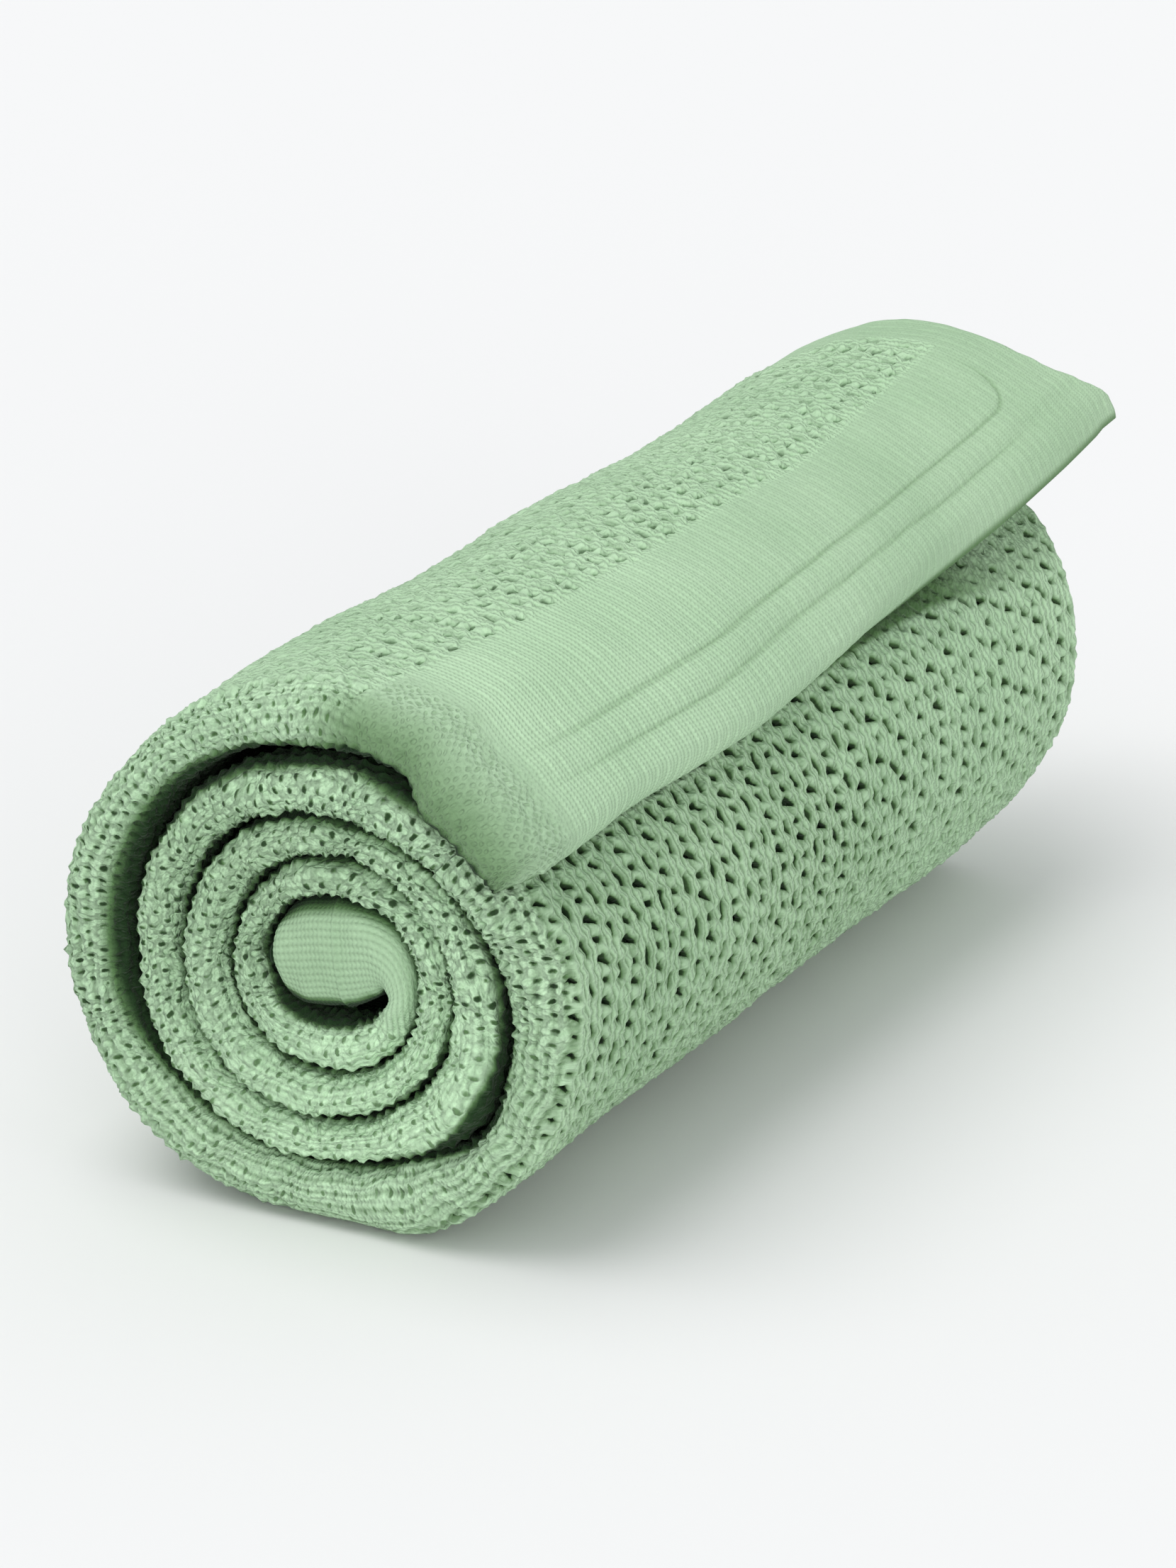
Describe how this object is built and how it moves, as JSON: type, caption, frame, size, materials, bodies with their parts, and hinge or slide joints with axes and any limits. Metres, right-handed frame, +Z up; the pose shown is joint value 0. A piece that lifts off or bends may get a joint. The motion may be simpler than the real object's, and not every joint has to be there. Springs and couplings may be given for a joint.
{
  "type": "rolled baby blanket",
  "caption": "Baby blanket in sage green openwork cotton knit, folded in three and rolled up, with a loose flap and a soft spiral end.",
  "frame": {"origin": "centre of the bottom of the bounding box, on the surface that the roll rests on", "axes": "+Z up, +Y along the roll away from the spiral end, +X to the right of somebody who looks at the spiral end"},
  "size_m": [0.1198, 0.2892, 0.1199],
  "materials": {
    "cotton_knit": "matte sage green cotton yarn, openwork knit with plain borders"
  },
  "bodies": {
    "root": {"blanket": "cotton_knit"}
  },
  "joints": []
}
